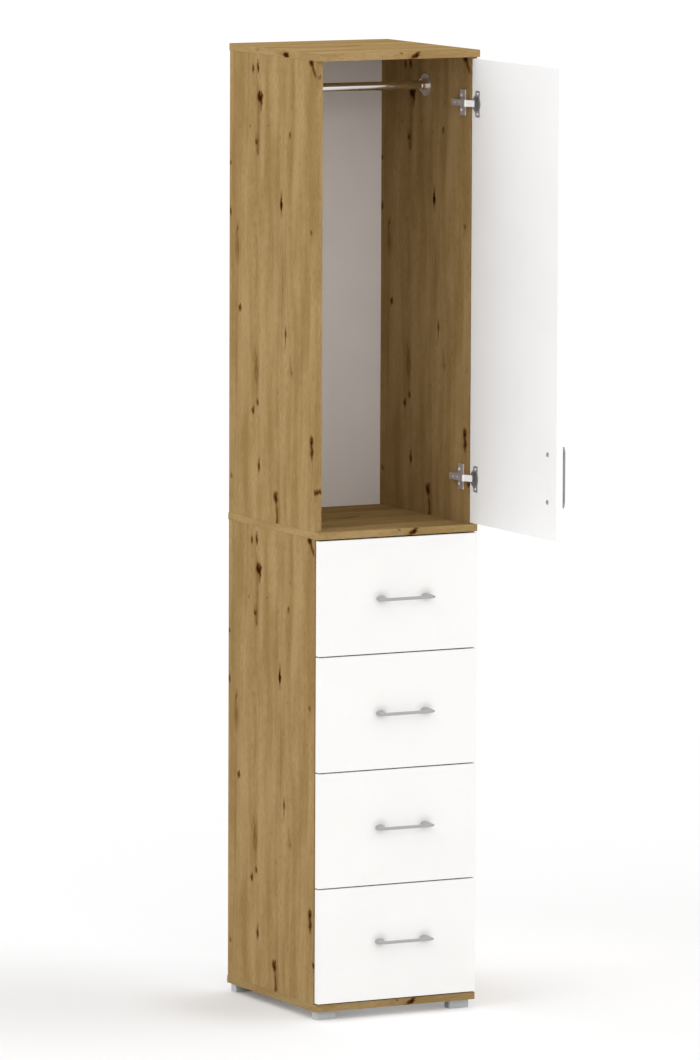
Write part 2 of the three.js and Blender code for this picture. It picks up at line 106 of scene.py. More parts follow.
class Shader:
    """A node tree with short calls for the nodes that it needs."""

    def __init__(self, tree):
        self.tree = tree

    def add(self, kind, **settings):
        node = self.tree.nodes.new(kind)
        for name, value in settings.items():
            setattr(node, name, value)
        return node

    def join(self, source, target):
        self.tree.links.new(source, target)

    def feed(self, socket, value):
        if isinstance(value, bpy.types.NodeSocket):
            self.join(value, socket)
        else:
            socket.default_value = value

    def run(self, kind, operation, *values):
        node = self.add(kind, operation=operation)
        for socket, value in zip(node.inputs, values):
            self.feed(socket, value)
        return node.outputs[0]

    def math(self, operation, *values):
        return self.run("ShaderNodeMath", operation, *values)

    def vector_math(self, operation, *values):
        return self.run("ShaderNodeVectorMath", operation, *values)

    def scaled(self, vector, scale):
        return self.vector_math("MULTIPLY", vector, scale)

    def split(self, vector):
        node = self.add("ShaderNodeSeparateXYZ")
        self.join(vector, node.inputs[0])
        return list(node.outputs)

    def combined(self, *values):
        node = self.add("ShaderNodeCombineXYZ")
        for socket, value in zip(node.inputs, values):
            self.join(value, socket)
        return node.outputs[0]

    def noise(self, vector, scale=1.0, detail=2.0, roughness=0.5):
        node = self.add("ShaderNodeTexNoise")
        self.feed(node.inputs["Vector"], vector)
        node.inputs["Scale"].default_value = scale
        node.inputs["Detail"].default_value = detail
        node.inputs["Roughness"].default_value = roughness
        return node.outputs

    def ball(self, vector):
        """1 at the middle, falling to nothing at a distance of 1."""
        node = self.add("ShaderNodeTexGradient", gradient_type="SPHERICAL")
        self.join(vector, node.inputs["Vector"])
        return node.outputs["Fac"]

    def ramp(self, value, low, high, low_out=0.0, high_out=1.0):
        node = self.add("ShaderNodeMapRange", interpolation_type="SMOOTHSTEP")
        self.feed(node.inputs["Value"], value)
        node.inputs["From Min"].default_value = low
        node.inputs["From Max"].default_value = high
        node.inputs["To Min"].default_value = low_out
        node.inputs["To Max"].default_value = high_out
        return node.outputs["Result"]

    def mix(self, share, first, second, kind="RGBA"):
        node = self.add("ShaderNodeMix", data_type=kind)
        first_input, second_input, output = MIX_SOCKETS[kind]
        self.feed(node.inputs[0], share)
        self.feed(node.inputs[first_input], first)
        self.feed(node.inputs[second_input], second)
        return node.outputs[output]

    def bump(self, height, depth, strength):
        node = self.add("ShaderNodeBump")
        self.feed(node.inputs["Height"], height)
        node.inputs["Distance"].default_value = depth
        node.inputs["Strength"].default_value = strength
        return node.outputs["Normal"]


class Surface(Shader):
    """A material whose colour and relief are still to come."""

    def __init__(self, name, roughness, metallic=0.0, specular=0.5):
        self.material = bpy.data.materials.new(name)
        self.material.use_nodes = True
        super().__init__(self.material.node_tree)
        self.inputs = self.tree.nodes["Principled BSDF"].inputs
        self.inputs["Roughness"].default_value = roughness
        self.inputs["Metallic"].default_value = metallic
        self.inputs["Specular IOR Level"].default_value = specular
        self.place = self.add("ShaderNodeTexCoord").outputs["Object"]

    def finished(self, color, height, relief):
        """Takes a colour and a relief, which is (depth, strength), and gives the material."""
        self.join(color, self.inputs["Base Color"])
        self.join(self.bump(height, *relief), self.inputs["Normal"])
        return self.material


# Oak: knots lie where the photographed boards show them. Each spot is
# (across, along, half width, half length, strength, tilt in degrees), in millimetres.
SIDE_KNOTS = (
    (323, 1008, 10, 17, 0.65, 0),
    (298, 1013, 10, 24, 0.85, 0),
    (288, 947, 19, 17, 1.5, 0),
    (282, 930, 9, 26, 0.6, 0),
    (304, 844, 12, 12, 0.85, 0),
    (298, 826, 8, 16, 0.5, 0),
    (141, 869, 9, 12, 0.75, 0),
    (134, 931, 12, 6, 0.35, 40),
    (182, 714, 9, 18, 1.15, 0),
    (182, 716, 6, 44, 0.6, 0),
    (398, 642, 8, 26, 0.5, 14),
    (38, 660, 12, 12, 0.5, 0),
    (40, 1037, 15, 13, 1.25, 0),
    (26, 1018, 9, 24, 1.0, -30),
    (246, 885, 5, 5, 0.5, 0),
    (190, 863, 6, 8, 0.35, 0),
    (337, 877, 6, 5, 0.4, 0),
    (357, 992, 5, 6, 0.35, 0),
    (136, 778, 6, 7, 0.4, 0),
    (143, 662, 5, 5, 0.4, 0),
    (432, 681, 7, 14, 0.8, 0),
    (432, 791, 6, 9, 0.7, 0),
    (384, 468, 11, 12, 0.95, 0),
    (159, 432, 9, 18, 0.7, 0),
    (160, 412, 5, 24, 0.5, 0),
    (128, 444, 12, 6, 0.3, -30),
    (304, 352, 9, 16, 0.4, 10),
    (296, 334, 9, 16, 0.42, -12),
    (300, 312, 11, 20, 0.36, 0),
    (128, 344, 9, 14, 0.32, -24),
    (296, 263, 9, 12, 0.7, 0),
    (318, 243, 11, 10, 0.95, 0),
    (195, 290, 8, 5, 0.35, 40),
    (288, 120, 9, 24, 0.95, 0),
    (32, 198, 13, 19, 1.15, 0),
    (30, 174, 12, 19, 1.0, 0),
    (14, 88, 10, 10, 0.9, 0),
    (425, 86, 7, 11, 0.8, 0),
    (206, 60, 16, 18, 1.1, 0),
    (199, 24, 8, 42, 0.65, -9),
    (203, -4, 7, 24, 0.55, 14),
)
SIDE_SMUDGES = (
    (311, 985, 17, 65, 0.5, 0),
    (292, 946, 24, 44, 0.65, 0),
    (290, 890, 18, 75, 0.6, 0),
    (302, 838, 22, 36, 0.55, 0),
    (36, 1030, 24, 42, 0.5, 0),
    (180, 715, 13, 60, 0.45, 0),
    (394, 600, 20, 46, 0.8, 0),
    (176, 540, 24, 150, 0.4, 0),
    (303, 352, 20, 52, 0.95, 0),
    (300, 300, 16, 80, 0.5, 0),
    (137, 354, 18, 42, 0.75, -14),
    (318, 235, 12, 50, 0.45, 0),
    (288, 140, 13, 130, 0.4, 0),
    (196, 95, 18, 100, 0.6, 0),
    (196, 20, 24, 62, 0.9, 0),
    (28, 150, 15, 90, 0.5, 0),
    (300, 640, 26, 560, 0.5, 0),
    (398, 330, 20, 560, 0.55, 0),
    (428, 820, 26, 420, 0.35, 0),
    (174, 640, 32, 640, 0.3, 0),
    (60, 700, 18, 300, 0.25, 0),
)
# On the boards that lie flat, the front edges and the ends have marks of their own: there
# the first number is the height above the board's top plus one of these two offsets.
FRONT_EDGE = 2000
END_EDGE = 1000
FLAT_KNOTS = (
    (4, 236, 9, 34, 0.62, 30),
    (241, 9, 9, 32, 0.75, 12),
    (120, 90, 7, 14, 0.5, 0),
    (END_EDGE - 11, 162, 9, 17, 1.5, 0),
    (END_EDGE - 7, 300, 7, 22, 0.4, 0),
    (FRONT_EDGE - 8, 42, 6, 22, 1.1, -44),
    (FRONT_EDGE - 10, 33, 5, 18, 1.0, -40),
    (FRONT_EDGE - 3, 3, 4, 7, 0.6, 0),
)
FLAT_SMUDGES = (
    (225, -10, 16, 60, 0.7, -24),
    (240, -20, 22, 80, 0.4, 0),
    (330, 110, 24, 120, 0.5, 0),
    (90, -120, 20, 150, 0.4, 0),
    (END_EDGE - 9, 170, 10, 50, 0.8, 0),
    (FRONT_EDGE - 8, 41, 12, 44, 0.7, -20),
)
# The ends of the mid and bottom boards read the table this much further on, past its marks
END_KNOT_SHIFT = 700 * MM
# A face belongs to an edge where its normal points along that axis by more than this share
EDGE_FACING_SHARE = 0.8

OAK_LIGHT = linear(174, 147, 102)
OAK_DARK = linear(150, 122, 77)
OAK_FIBRE = linear(112, 80, 36)
OAK_SMUDGE = linear(104, 72, 30)
OAK_RING = linear(92, 56, 22)
OAK_HEART = linear(46, 20, 7)
OAK_ROUGHNESS = 0.6
OAK_RELIEF = (0.06 * MM, 0.5)
# The bottom board's oak is a darker copy, with this share of the others' brightness: painted shade
LOW_BOARD_PAINTED_SHADE = 0.92
# How often the marks of the grain repeat in a metre, (across, along, through the board), and
# how rough the bands and streaks are
WAVER_SCALE = (190, 70, 190)
DRIFT_SCALE = (8, 2.4, 8)
BAND_SCALE = (17, 1.7, 17)
STREAK_SCALE = (105, 5, 105)
FIBRE_SCALE = (700, 60, 700)
CLOUD_SCALE = (30, 14, 30)
BAND_ROUGHNESS = 0.6
STREAK_ROUGHNESS = 0.55
# How far the rims of knots waver, and how far drift, smudges and knots push the grain aside
WAVER_REACH = (11 * MM, 20 * MM, 0)
DRIFT_PUSH = 60 * MM
SMUDGE_PUSH = 10 * MM
KNOT_PUSH = 8 * MM
# How much bands, streaks and clouds count in the tone, and how uneven the knots are
BAND_SHARE = 0.67
STREAK_SHARE = 0.15
CLOUD_SHARE = 0.18
KNOT_LEAST_SHARE = 0.2
KNOT_UNEVEN_SHARE = 1.6
# Each ramp is (low, high, share at low, share at high)
TONE_RAMP = (0.35, 0.63, 0, 1)
FIBRE_RAMP = (0.34, 0.6, 0.3, 0)
LINE_RAMP = (0.66, 0.4, 0.3, 1)
SMUDGE_RAMP = (0, 1.2, 0, 0.8)
RING_RAMP = (0.03, 0.6, 0, 0.85)
HEART_RAMP = (0.42, 1.1, 0, 0.97)


def spots(shader, place, table):
    """The sum of soft spots: each rises from nothing at its rim to its strength."""
    total = 0.0
    for across, along, half_width, half_length, strength, tilt in table:
        spot = shader.add("ShaderNodeMapping", vector_type="TEXTURE")
        shader.join(place, spot.inputs["Vector"])
        spot.inputs["Location"].default_value = (across * MM, along * MM, 0)
        spot.inputs["Rotation"].default_value = (0, 0, math.radians(tilt))
        spot.inputs["Scale"].default_value = (half_width * MM, half_length * MM, 1)
        total = shader.math("MULTIPLY_ADD", shader.ball(spot.outputs["Vector"]), strength, total)
    return total


def oak_knots(shader, place, knots, smudges):
    """Knots with wavering rims and an uneven middle, and the even smudges around them."""
    flat = shader.scaled(place, (1, 1, 0))
    waver = shader.noise(shader.scaled(place, WAVER_SCALE))
    half_back = [-reach / 2 for reach in WAVER_REACH]
    sway = shader.vector_math("MULTIPLY_ADD", waver["Color"], WAVER_REACH, half_back)
    ragged = shader.vector_math("ADD", flat, sway)
    uneven = shader.math("MULTIPLY_ADD", waver["Fac"], KNOT_UNEVEN_SHARE, KNOT_LEAST_SHARE)
    core = shader.math("MULTIPLY", spots(shader, ragged, knots), uneven)
    return core, spots(shader, flat, smudges)


def oak_grain_place(shader, place, core, smudge):
    """The place at which the grain is read, pushed aside so that it bends around knots."""
    drift = shader.noise(shader.scaled(place, DRIFT_SCALE), detail=1)["Fac"]
    push = shader.math("MULTIPLY", drift, DRIFT_PUSH)
    push = shader.math("MULTIPLY_ADD", smudge, SMUDGE_PUSH, push)
    push = shader.math("MULTIPLY_ADD", core, KNOT_PUSH, push)
    return shader.vector_math("ADD", place, shader.combined(push))


def oak_group(name, knots, smudges, share):
    """Grain, knots and tone of oak from a place given as (across, along, depth)."""
    group = bpy.data.node_groups.new(name, "ShaderNodeTree")
    face = group.interface
    face.new_socket("Place", in_out="INPUT", socket_type="NodeSocketVector")
    face.new_socket("Color", in_out="OUTPUT", socket_type="NodeSocketColor")
    face.new_socket("Height", in_out="OUTPUT", socket_type="NodeSocketFloat")
    shader = Shader(group)
    place = shader.add("NodeGroupInput").outputs["Place"]
    result = shader.add("NodeGroupOutput")
    core, smudge = oak_knots(shader, place, knots, smudges)
    grain = oak_grain_place(shader, place, core, smudge)
    bands = shader.noise(shader.scaled(grain, BAND_SCALE), roughness=BAND_ROUGHNESS)["Fac"]
    streaks = shader.noise(shader.scaled(grain, STREAK_SCALE), roughness=STREAK_ROUGHNESS)["Fac"]
    fibres = shader.noise(shader.scaled(grain, FIBRE_SCALE))["Fac"]
    clouds = shader.noise(shader.scaled(grain, CLOUD_SCALE))["Fac"]
    tone = shader.math("MULTIPLY", bands, BAND_SHARE)
    tone = shader.math("MULTIPLY_ADD", streaks, STREAK_SHARE, tone)
    tone = shader.math("MULTIPLY_ADD", clouds, CLOUD_SHARE, tone)
    lines = shader.ramp(streaks, *LINE_RAMP)
    veil = shader.math("MULTIPLY", shader.ramp(smudge, *SMUDGE_RAMP), lines)
    heart = shader.ramp(core, *HEART_RAMP)
    # A share below 1 darkens every layer but the heart, as painted shade
    color = shaded(OAK_DARK, share)
    for cover, layer in (
        (shader.ramp(tone, *TONE_RAMP), shaded(OAK_LIGHT, share)),
        (shader.ramp(fibres, *FIBRE_RAMP), shaded(OAK_FIBRE, share)),
        (veil, shaded(OAK_SMUDGE, share)),
        (shader.ramp(core, *RING_RAMP), shaded(OAK_RING, share)),
        (heart, OAK_HEART),
    ):
        color = shader.mix(cover, color, layer)
    shader.join(color, result.inputs["Color"])
    shader.join(shader.math("SUBTRACT", fibres, heart), result.inputs["Height"])
    return group


def oak_finished(shader, group, place):
    oak = shader.add("ShaderNodeGroup", node_tree=group)
    shader.join(place, oak.inputs["Place"])
    return shader.finished(oak.outputs["Color"], oak.outputs["Height"], OAK_RELIEF)


def place_from(shader, corner):
    return [shader.math("SUBTRACT", value, start)
            for value, start in zip(shader.split(shader.place), corner)]


def upright_oak(name, group, corner):
    """Oak of an upright board, whose grain runs along its height."""
    shader = Surface(name, OAK_ROUGHNESS, specular=0)
    x, y, z = place_from(shader, corner)
    return oak_finished(shader, group, shader.combined(y, z, x))


def faces_along(shader, part):
    """1 on the faces whose normal points along an axis, given its part of the normal."""
    return shader.math("GREATER_THAN", shader.math("ABSOLUTE", part), EDGE_FACING_SHARE)


def flat_board_oak(name, group, corner, knot_shift):
    """Oak of a board that lies flat: along its width, and along each edge on the edges."""
    shader = Surface(name, OAK_ROUGHNESS, specular=0)
    x, y, z = place_from(shader, corner)
    normal = shader.split(shader.add("ShaderNodeTexCoord").outputs["Normal"])
    end = faces_along(shader, normal[0])
    front = faces_along(shader, normal[1])
    choice = shader.combined(y, x, z)
    shifted = shader.math("ADD", y, knot_shift)
    for share, offset, along, depth in ((end, END_EDGE, shifted, x), (front, FRONT_EDGE, x, y)):
        edge = shader.combined(shader.math("ADD", z, offset * MM), along, depth)
        choice = shader.mix(share, choice, edge, "VECTOR")
    return oak_finished(shader, group, choice)


# Coated boards: a nearly even colour with a faint cloudiness and a fine orange peel
CLOUD_RANGE = (0.35, 0.65)
BOARD_CLOUD_SCALE = 7
BOARD_PEEL_SCALE = 900
BOARD_RELIEF = (0.02 * MM, 0.35)
BOARD_SPECULAR = 0.4
# Painted shade round each post of a drawer's handle, mixed into the front's colour: its colour and
# greatest share, then how far it lies from the handle's middle and its half width and height, in
# millimetres
SHADE_COLOR = linear(120, 118, 116)
SHADE_SHARE = 0.27
SHADE_SPREAD = 56
SHADE_RISE = 3
SHADE_SIZE = (28, 23)


def board_material(name, color, stain, roughness, shades=()):
    shader = Surface(name, roughness, specular=BOARD_SPECULAR)
    cloud = shader.noise(shader.place, scale=BOARD_CLOUD_SCALE, detail=3)["Fac"]
    coat = shader.mix(shader.ramp(cloud, *CLOUD_RANGE), color, stain)
    # Painted shade: the coat is darkened round the posts of the drawer's handle
    if shades:
        x, y, z = shader.split(shader.place)
        shade = spots(shader, shader.combined(x, z), shades)
        coat = shader.mix(shader.ramp(shade, 0, 1, 0, SHADE_SHARE), coat, SHADE_COLOR)
    peel = shader.noise(shader.place, scale=BOARD_PEEL_SCALE)["Fac"]
    return shader.finished(coat, peel, BOARD_RELIEF)


# Metal: fine marks change its gloss and its tone a little
METAL_RANGE = (0.3, 0.7)
METAL_RELIEF = (0.004 * MM, 0.3)
METAL_SCALE = (300, 300, 300)
RAIL_SCALE = (12, 700, 700)
SATIN_SCALE = (1600, 1600, 1600)
GLOSS_SPREAD = 0.06
DULL_SHARE = 0.92


def metal_material(name, color, roughness, metallic, scale=METAL_SCALE, spread=GLOSS_SPREAD,
                   dull_share=DULL_SHARE):
    shader = Surface(name, roughness, metallic=metallic)
    marks = shader.noise(shader.scaled(shader.place, scale), detail=3)["Fac"]
    tone = shader.mix(shader.ramp(marks, *METAL_RANGE), shaded(color, dull_share), color)
    gloss = shader.ramp(marks, *METAL_RANGE, roughness + spread, roughness - spread)
    shader.join(gloss, shader.inputs["Roughness"])
    return shader.finished(tone, marks, METAL_RELIEF)


# Moulded plastic with a fine grain
PLASTIC_CLOUD_SCALE = 60
PLASTIC_GRAIN_SCALE = 2400
PLASTIC_RELIEF = (0.03 * MM, 0.4)


def plastic_material(name, color, stain, roughness):
    shader = Surface(name, roughness)
    cloud = shader.noise(shader.place, scale=PLASTIC_CLOUD_SCALE, detail=3)["Fac"]
    grain = shader.noise(shader.place, scale=PLASTIC_GRAIN_SCALE)["Fac"]
    return shader.finished(shader.mix(cloud, color, stain), grain, PLASTIC_RELIEF)


# Beech: pale wood with dark flecks
BEECH_DARK = linear(196, 160, 118)
BEECH_LIGHT = linear(222, 188, 146)
BEECH_FLECK = linear(150, 112, 74)
BEECH_GRAIN_SCALE = (260, 8, 260)
BEECH_FLECK_SCALE = (900, 120, 900)
BEECH_FLECK_RAMP = (0.3, 0.42, 0.35, 0)
BEECH_RELIEF = (0.05 * MM, 0.5)
BEECH_ROUGHNESS = 0.5
BEECH_SPECULAR = 0.3


def beech_material(name):
    shader = Surface(name, BEECH_ROUGHNESS, specular=BEECH_SPECULAR)
    grain = shader.noise(shader.scaled(shader.place, BEECH_GRAIN_SCALE), detail=4)["Fac"]
    flecks = shader.noise(shader.scaled(shader.place, BEECH_FLECK_SCALE))["Fac"]
    color = shader.mix(shader.ramp(grain, *CLOUD_RANGE), BEECH_DARK, BEECH_LIGHT)
    color = shader.mix(shader.ramp(flecks, *BEECH_FLECK_RAMP), color, BEECH_FLECK)
    return shader.finished(color, grain, BEECH_RELIEF)


# The materials of this cupboard
side_oak = oak_group("side_oak", SIDE_KNOTS, SIDE_SMUDGES, 1)
flat_oak = oak_group("flat_oak", FLAT_KNOTS, FLAT_SMUDGES, 1)
painted_shade_low_oak = oak_group("painted_shade_low_oak", FLAT_KNOTS, FLAT_SMUDGES, LOW_BOARD_PAINTED_SHADE)
beech = beech_material("beech")

DRAWER_FRONT = {"color": linear(247, 246, 244), "stain": linear(245, 244, 242), "roughness": 0.4}
door_white = board_material("white_door", linear(249, 249, 249), linear(247, 247, 247), 0.4)
panel_white = board_material("white_hardboard", linear(232, 227, 224), linear(229, 224, 221), 0.55)
box_white = board_material("white_foil", linear(232, 231, 227), linear(224, 223, 218), 0.55)
silver_grey = plastic_material("silver_grey", linear(190, 196, 196), linear(182, 187, 187), 0.38)

chrome = metal_material("chrome", linear(226, 226, 226), roughness=0.14, metallic=1,
                        scale=RAIL_SCALE, spread=0.04)
flange_chrome = metal_material("flange_chrome", linear(206, 196, 186), roughness=0.34, metallic=0.8)
socket_chrome = metal_material("socket_chrome", linear(236, 226, 216), roughness=0.2, metallic=1)
nickel = metal_material("nickel_plate", linear(182, 173, 170), roughness=0.36, metallic=0.35)
dark_nickel = metal_material("nickel_cup", linear(160, 159, 158), roughness=0.4, metallic=0.4)
screw_steel = metal_material("screw_steel", linear(244, 244, 243), roughness=0.24, metallic=0.75)
dull_steel = metal_material("dull_steel", linear(168, 168, 168), roughness=0.4, metallic=0.45)
ZINC = {"roughness": 0.38, "metallic": 0.12, "dull_share": 0.96}
bright_zinc = metal_material("bright_zinc", linear(250, 249, 248), **ZINC)
# A pale copy of the plate's nickel: painted highlight for the plate's front edge
plate_painted_highlight = metal_material("plate_painted_highlight", linear(238, 222, 212), **ZINC)
SATIN = {"roughness": 0.4, "metallic": 0.3, "scale": SATIN_SCALE, "spread": 0.03, "dull_share": 0.98}
satin = metal_material("satin_grey", linear(171, 171, 170), **SATIN)
# The door's handle: the same satin grey painted darker, as painted shade
painted_shade_satin = metal_material("satin_grey_painted_shade", linear(148, 148, 147), **SATIN)

# How wide the sharp edges are rounded, so that they catch the light
SIDE_ROUNDING = 0.3 * MM
FLAT_ROUNDING = 0.4 * MM
FRONT_ROUNDING = 0.5 * MM
BOX_ROUNDING = 0.4 * MM
RUNNER_ROUNDING = 0.8 * MM
FOOT_ROUNDING = 0.8 * MM
FLANGE_ROUNDING = 1.1 * MM
ROUNDING_SEGMENTS = 2
FLANGE_SEGMENTS = 3
SHARP_ANGLE = 35
FOOT_SHARP_ANGLE = 60


def middle(name):
    low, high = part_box(name)
    return (low + high) / 2


def dress(name, material, rounding=0, segments=ROUNDING_SEGMENTS, sharp_angle=SHARP_ANGLE):
    """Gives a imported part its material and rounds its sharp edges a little."""
    node = nodes[name]
    node.data.materials.clear()
    node.data.materials.append(material)
    if rounding:
        modifier = node.modifiers.new("soft_edges", "BEVEL")
        modifier.width = rounding
        modifier.segments = segments
        modifier.limit_method = "ANGLE"
        modifier.angle_limit = math.radians(sharp_angle)
        modifier.harden_normals = True
    return node


def dress_carcass():
    for zone, floor_board in (("upper", "mid_board"), ("lower", "bottom_board")):
        zone_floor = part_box(floor_board)[1].z
        for side in SIDES:
            name = f"{zone}_{side}_side"
            corner = (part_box(name)[0].x, board_low.y, zone_floor)
            dress(name, upright_oak(f"oak_{zone}_{side}", side_oak, corner), SIDE_ROUNDING)
        dress(f"{zone}_back_panel", panel_white)
    for name, group, knot_shift in (
        ("top_board", flat_oak, 0),
        ("mid_board", flat_oak, END_KNOT_SHIFT),
        ("bottom_board", painted_shade_low_oak, END_KNOT_SHIFT),
    ):
        low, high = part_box(name)
        corner = (board_middle_front.x, low.y, high.z)
        dress(name, flat_board_oak(f"oak_{name}", group, corner, knot_shift), FLAT_ROUNDING)


def dress_feet():
    for place in ("front", "back"):
        for side in SIDES:
            dress(f"{place}_{side}_foot", silver_grey, FOOT_ROUNDING, sharp_angle=FOOT_SHARP_ANGLE)


def dress_drawer(number):
    drawer = f"drawer_{number}"
    handle = middle(f"{drawer}_handle") / MM
    # Places of the painted shade round the handle's two posts
    shades = [(handle.x + way * SHADE_SPREAD, handle.z + SHADE_RISE, *SHADE_SIZE, 1, 0)
              for way in SIDES.values()]
    dress(f"{drawer}_front", board_material(f"white_front_{number}", **DRAWER_FRONT, shades=shades),
          FRONT_ROUNDING)
    for word in ("left_side", "right_side", "back"):
        dress(f"{drawer}_{word}", box_white, BOX_ROUNDING)
    dress(f"{drawer}_bottom", panel_white)
    for side in SIDES:
        dress(f"runner_{number}_{side}", beech, RUNNER_ROUNDING)


# What stands further than this from the middle of the side board's thickness is the socket,
# which is brighter than the flange
SOCKET_FROM_SIDE = 12.5 * MM


def dress_rail():
    dress("hanging_rail", chrome)
    for side in SIDES:
        flange = dress(f"rail_flange_{side}", flange_chrome, FLANGE_ROUNDING, FLANGE_SEGMENTS)
        flange.data.materials.append(socket_chrome)
        side_middle = middle(f"upper_{side}_side").x
        for face in flange.data.polygons:
            face.material_index = int(abs(face.center.x - side_middle) > SOCKET_FROM_SIDE)


# Pieces of a hinge, each as (name, material, rounding)
HINGE_PIECES = (
    ("plate", nickel, 0.45 * MM),
    ("arm", nickel, 0.35 * MM),
    ("link", bright_zinc, 0.25 * MM),
    ("cup", dark_nickel, 0.25 * MM),
)
# The plate's faces whose normal points forward by more than this share get a pale copy of the
# nickel, a painted highlight for the reflection on its front edge
FRONT_FACING_SHARE = 0.9


def dress_hinge(word):
    for piece, material, rounding in HINGE_PIECES:
        dress(f"hinge_{piece}_{word}", material, rounding)
    plate = nodes[f"hinge_plate_{word}"].data
    # Painted highlight on the plate's forward faces
    plate.materials.append(plate_painted_highlight)
    for face in plate.polygons:
        face.material_index = int(-face.normal.y > FRONT_FACING_SHARE)


dress_carcass()
dress_feet()
dress("door_panel", door_white, FRONT_ROUNDING)
for number in DRAWERS:
    dress_drawer(number)
dress_rail()
for word in HINGES:
    dress_hinge(word)


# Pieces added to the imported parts
def add_piece(name, mesh, body, matrix):
    piece = bpy.data.objects.new(name, mesh)
    piece.matrix_world = matrix
    bpy.context.scene.collection.objects.link(piece)
    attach(piece, body)
    return piece


def turns(count):
    return [2 * math.pi * index / count for index in range(count)]


def bridge(bm, rings):
    """Joins rings of points to a closed skin, with one face over each end."""
    for first, second in zip(rings, rings[1:]):
        count = len(first)
        for index in range(count):
            after = (index + 1) % count
            bm.faces.new((first[index], first[after], second[after], second[index]))
    for ring, step in ((rings[0], -1), (rings[-1], 1)):
        bm.faces.new(ring[::step])


CREASE_ANGLE = math.radians(42)


def finished_mesh(name, bm, material):
    bmesh.ops.recalc_face_normals(bm, faces=bm.faces)
    mesh = bpy.data.meshes.new(name)
    bm.to_mesh(mesh)
    bm.free()
    for face in mesh.polygons:
        face.use_smooth = True
    mesh.set_sharp_from_angle(angle=CREASE_ANGLE)
    mesh.materials.append(material)
    return mesh


# Screw heads: domes with a crossed recess. Each is (radius, height, recess width, recess depth).
HINGE_HEAD = (3.6 * MM, 1.5 * MM, 1.1 * MM, 0.8 * MM)
ARM_HEAD = (2.6 * MM, 0.9 * MM, 0.9 * MM, 0.6 * MM)
HANDLE_HEAD = (5.2 * MM, 2.2 * MM, 1.3 * MM, 1.2 * MM)
RUNNER_HEAD = (3.4 * MM, 0.2 * MM, 1 * MM, 0.15 * MM)
HEAD_RINGS = 14
HEAD_SEGMENTS = 48
HEAD_RIM_SHARE = 0.45
RECESS_LENGTH_SHARE = 0.62
RECESS_SOFT_SHARE = 0.25


def cross_share(x, y, radius, width):
    """1 inside the crossed recess, 0 outside it, with a soft rim."""
    depth = 0
    for across, along in ((abs(x), abs(y)), (abs(y), abs(x))):
        inside = min(width / 2 - across, radius * RECESS_LENGTH_SHARE - along) / width
        depth = max(depth, min(1, max(0, inside / RECESS_SOFT_SHARE)))
    return depth


def screw_mesh(name, head, material):
    """Stands on z = 0 and faces +z. Its lowest ring is a short upright rim."""
    radius, height, recess_width, recess_depth = head
    bm = bmesh.new()
    rings = [[bm.verts.new((radius * math.cos(turn), radius * math.sin(turn), 0))
              for turn in turns(HEAD_SEGMENTS)]]
    for ring in range(HEAD_RINGS, 0, -1):
        share = ring / HEAD_RINGS
        round_share = math.sqrt(max(0, 1 - share * share))
        dome = height * (HEAD_RIM_SHARE + (1 - HEAD_RIM_SHARE) * round_share)
        row = []
        for turn in turns(HEAD_SEGMENTS):
            x = radius * share * math.cos(turn)
            y = radius * share * math.sin(turn)
            z = dome - recess_depth * cross_share(x, y, radius, recess_width)
            row.append(bm.verts.new((x, y, z)))
        rings.append(row)
    bridge(bm, rings)
    return finished_mesh(name, bm, material)


TO_LEFT = (-1, 0, 0)
TO_BACK = (0, 1, 0)


def facing(place, direction, spin):
    turn = Vector(direction).to_track_quat("Z", "Y").to_matrix().to_4x4()
    return Matrix.Translation(place) @ turn @ Matrix.Rotation(spin, 4, "Z")


# Screws of the hinges. A spin is how far a screw's recess is turned, in radians.
PLATE_SCREW_FROM_END = 11 * MM
PLATE_SCREW_RISE = 16 * MM
PLATE_SCREW_SPIN = 0.5
CUP_SCREW_FORWARD = 7 * MM
CUP_SCREW_RISE = 22.5 * MM
CUP_SCREW_SPIN = 0.3
ARM_SCREW_SETBACKS = (("fixing", 18 * MM), ("side", 38 * MM))
ARM_SCREW_SPIN = 0.8
cup_screw = screw_mesh("cup_screw", HINGE_HEAD, screw_steel)
plate_screw = screw_mesh("plate_screw", HINGE_HEAD, bright_zinc)
arm_screw = screw_mesh("arm_screw", ARM_HEAD, screw_steel)


def add_hinge_screws(word):
    plate_low, plate_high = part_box(f"hinge_plate_{word}")
    arm_low, arm_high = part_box(f"hinge_arm_{word}")
    cup_low, cup_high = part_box(f"hinge_cup_{word}")
    cup_middle = (cup_low.y + cup_high.y) / 2
    level = middle(f"hinge_plate_{word}").z
    for height, way in HEIGHTS.items():
        place = (plate_low.x, plate_high.y - PLATE_SCREW_FROM_END, level + way * PLATE_SCREW_RISE)
        matrix = facing(place, TO_LEFT, PLATE_SCREW_SPIN + way)
        add_piece(f"plate_screw_{word}_{height}", plate_screw, "cabinet", matrix)
        place = (cup_low.x, cup_middle - CUP_SCREW_FORWARD, level + way * CUP_SCREW_RISE)
        matrix = facing(place, TO_LEFT, CUP_SCREW_SPIN - way)
        add_piece(f"cup_screw_{word}_{height}", cup_screw, "door", matrix)
    for job, setback in ARM_SCREW_SETBACKS:
        place = (arm_low.x, arm_high.y - setback, level)
        matrix = facing(place, TO_LEFT, ARM_SCREW_SPIN)
        add_piece(f"arm_screw_{word}_{job}", arm_screw, "cabinet", matrix)


# Screws of the handles
HANDLE_SCREW_SPACING = 105 * MM
DOOR_SCREW_SPIN = 0.4
DRAWER_SCREW_SPIN = 0.6
handle_screw = screw_mesh("handle_screw", HANDLE_HEAD, dull_steel)


def add_door_screw(height):
    node = f"door_handle_screw_{height}"
    place = middle(node)
    place.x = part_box("door_panel")[0].x
    matrix = facing(place, TO_LEFT, DOOR_SCREW_SPIN)
    head = add_piece(f"door_screw_head_{height}", handle_screw, "door", matrix)
    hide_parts(node)


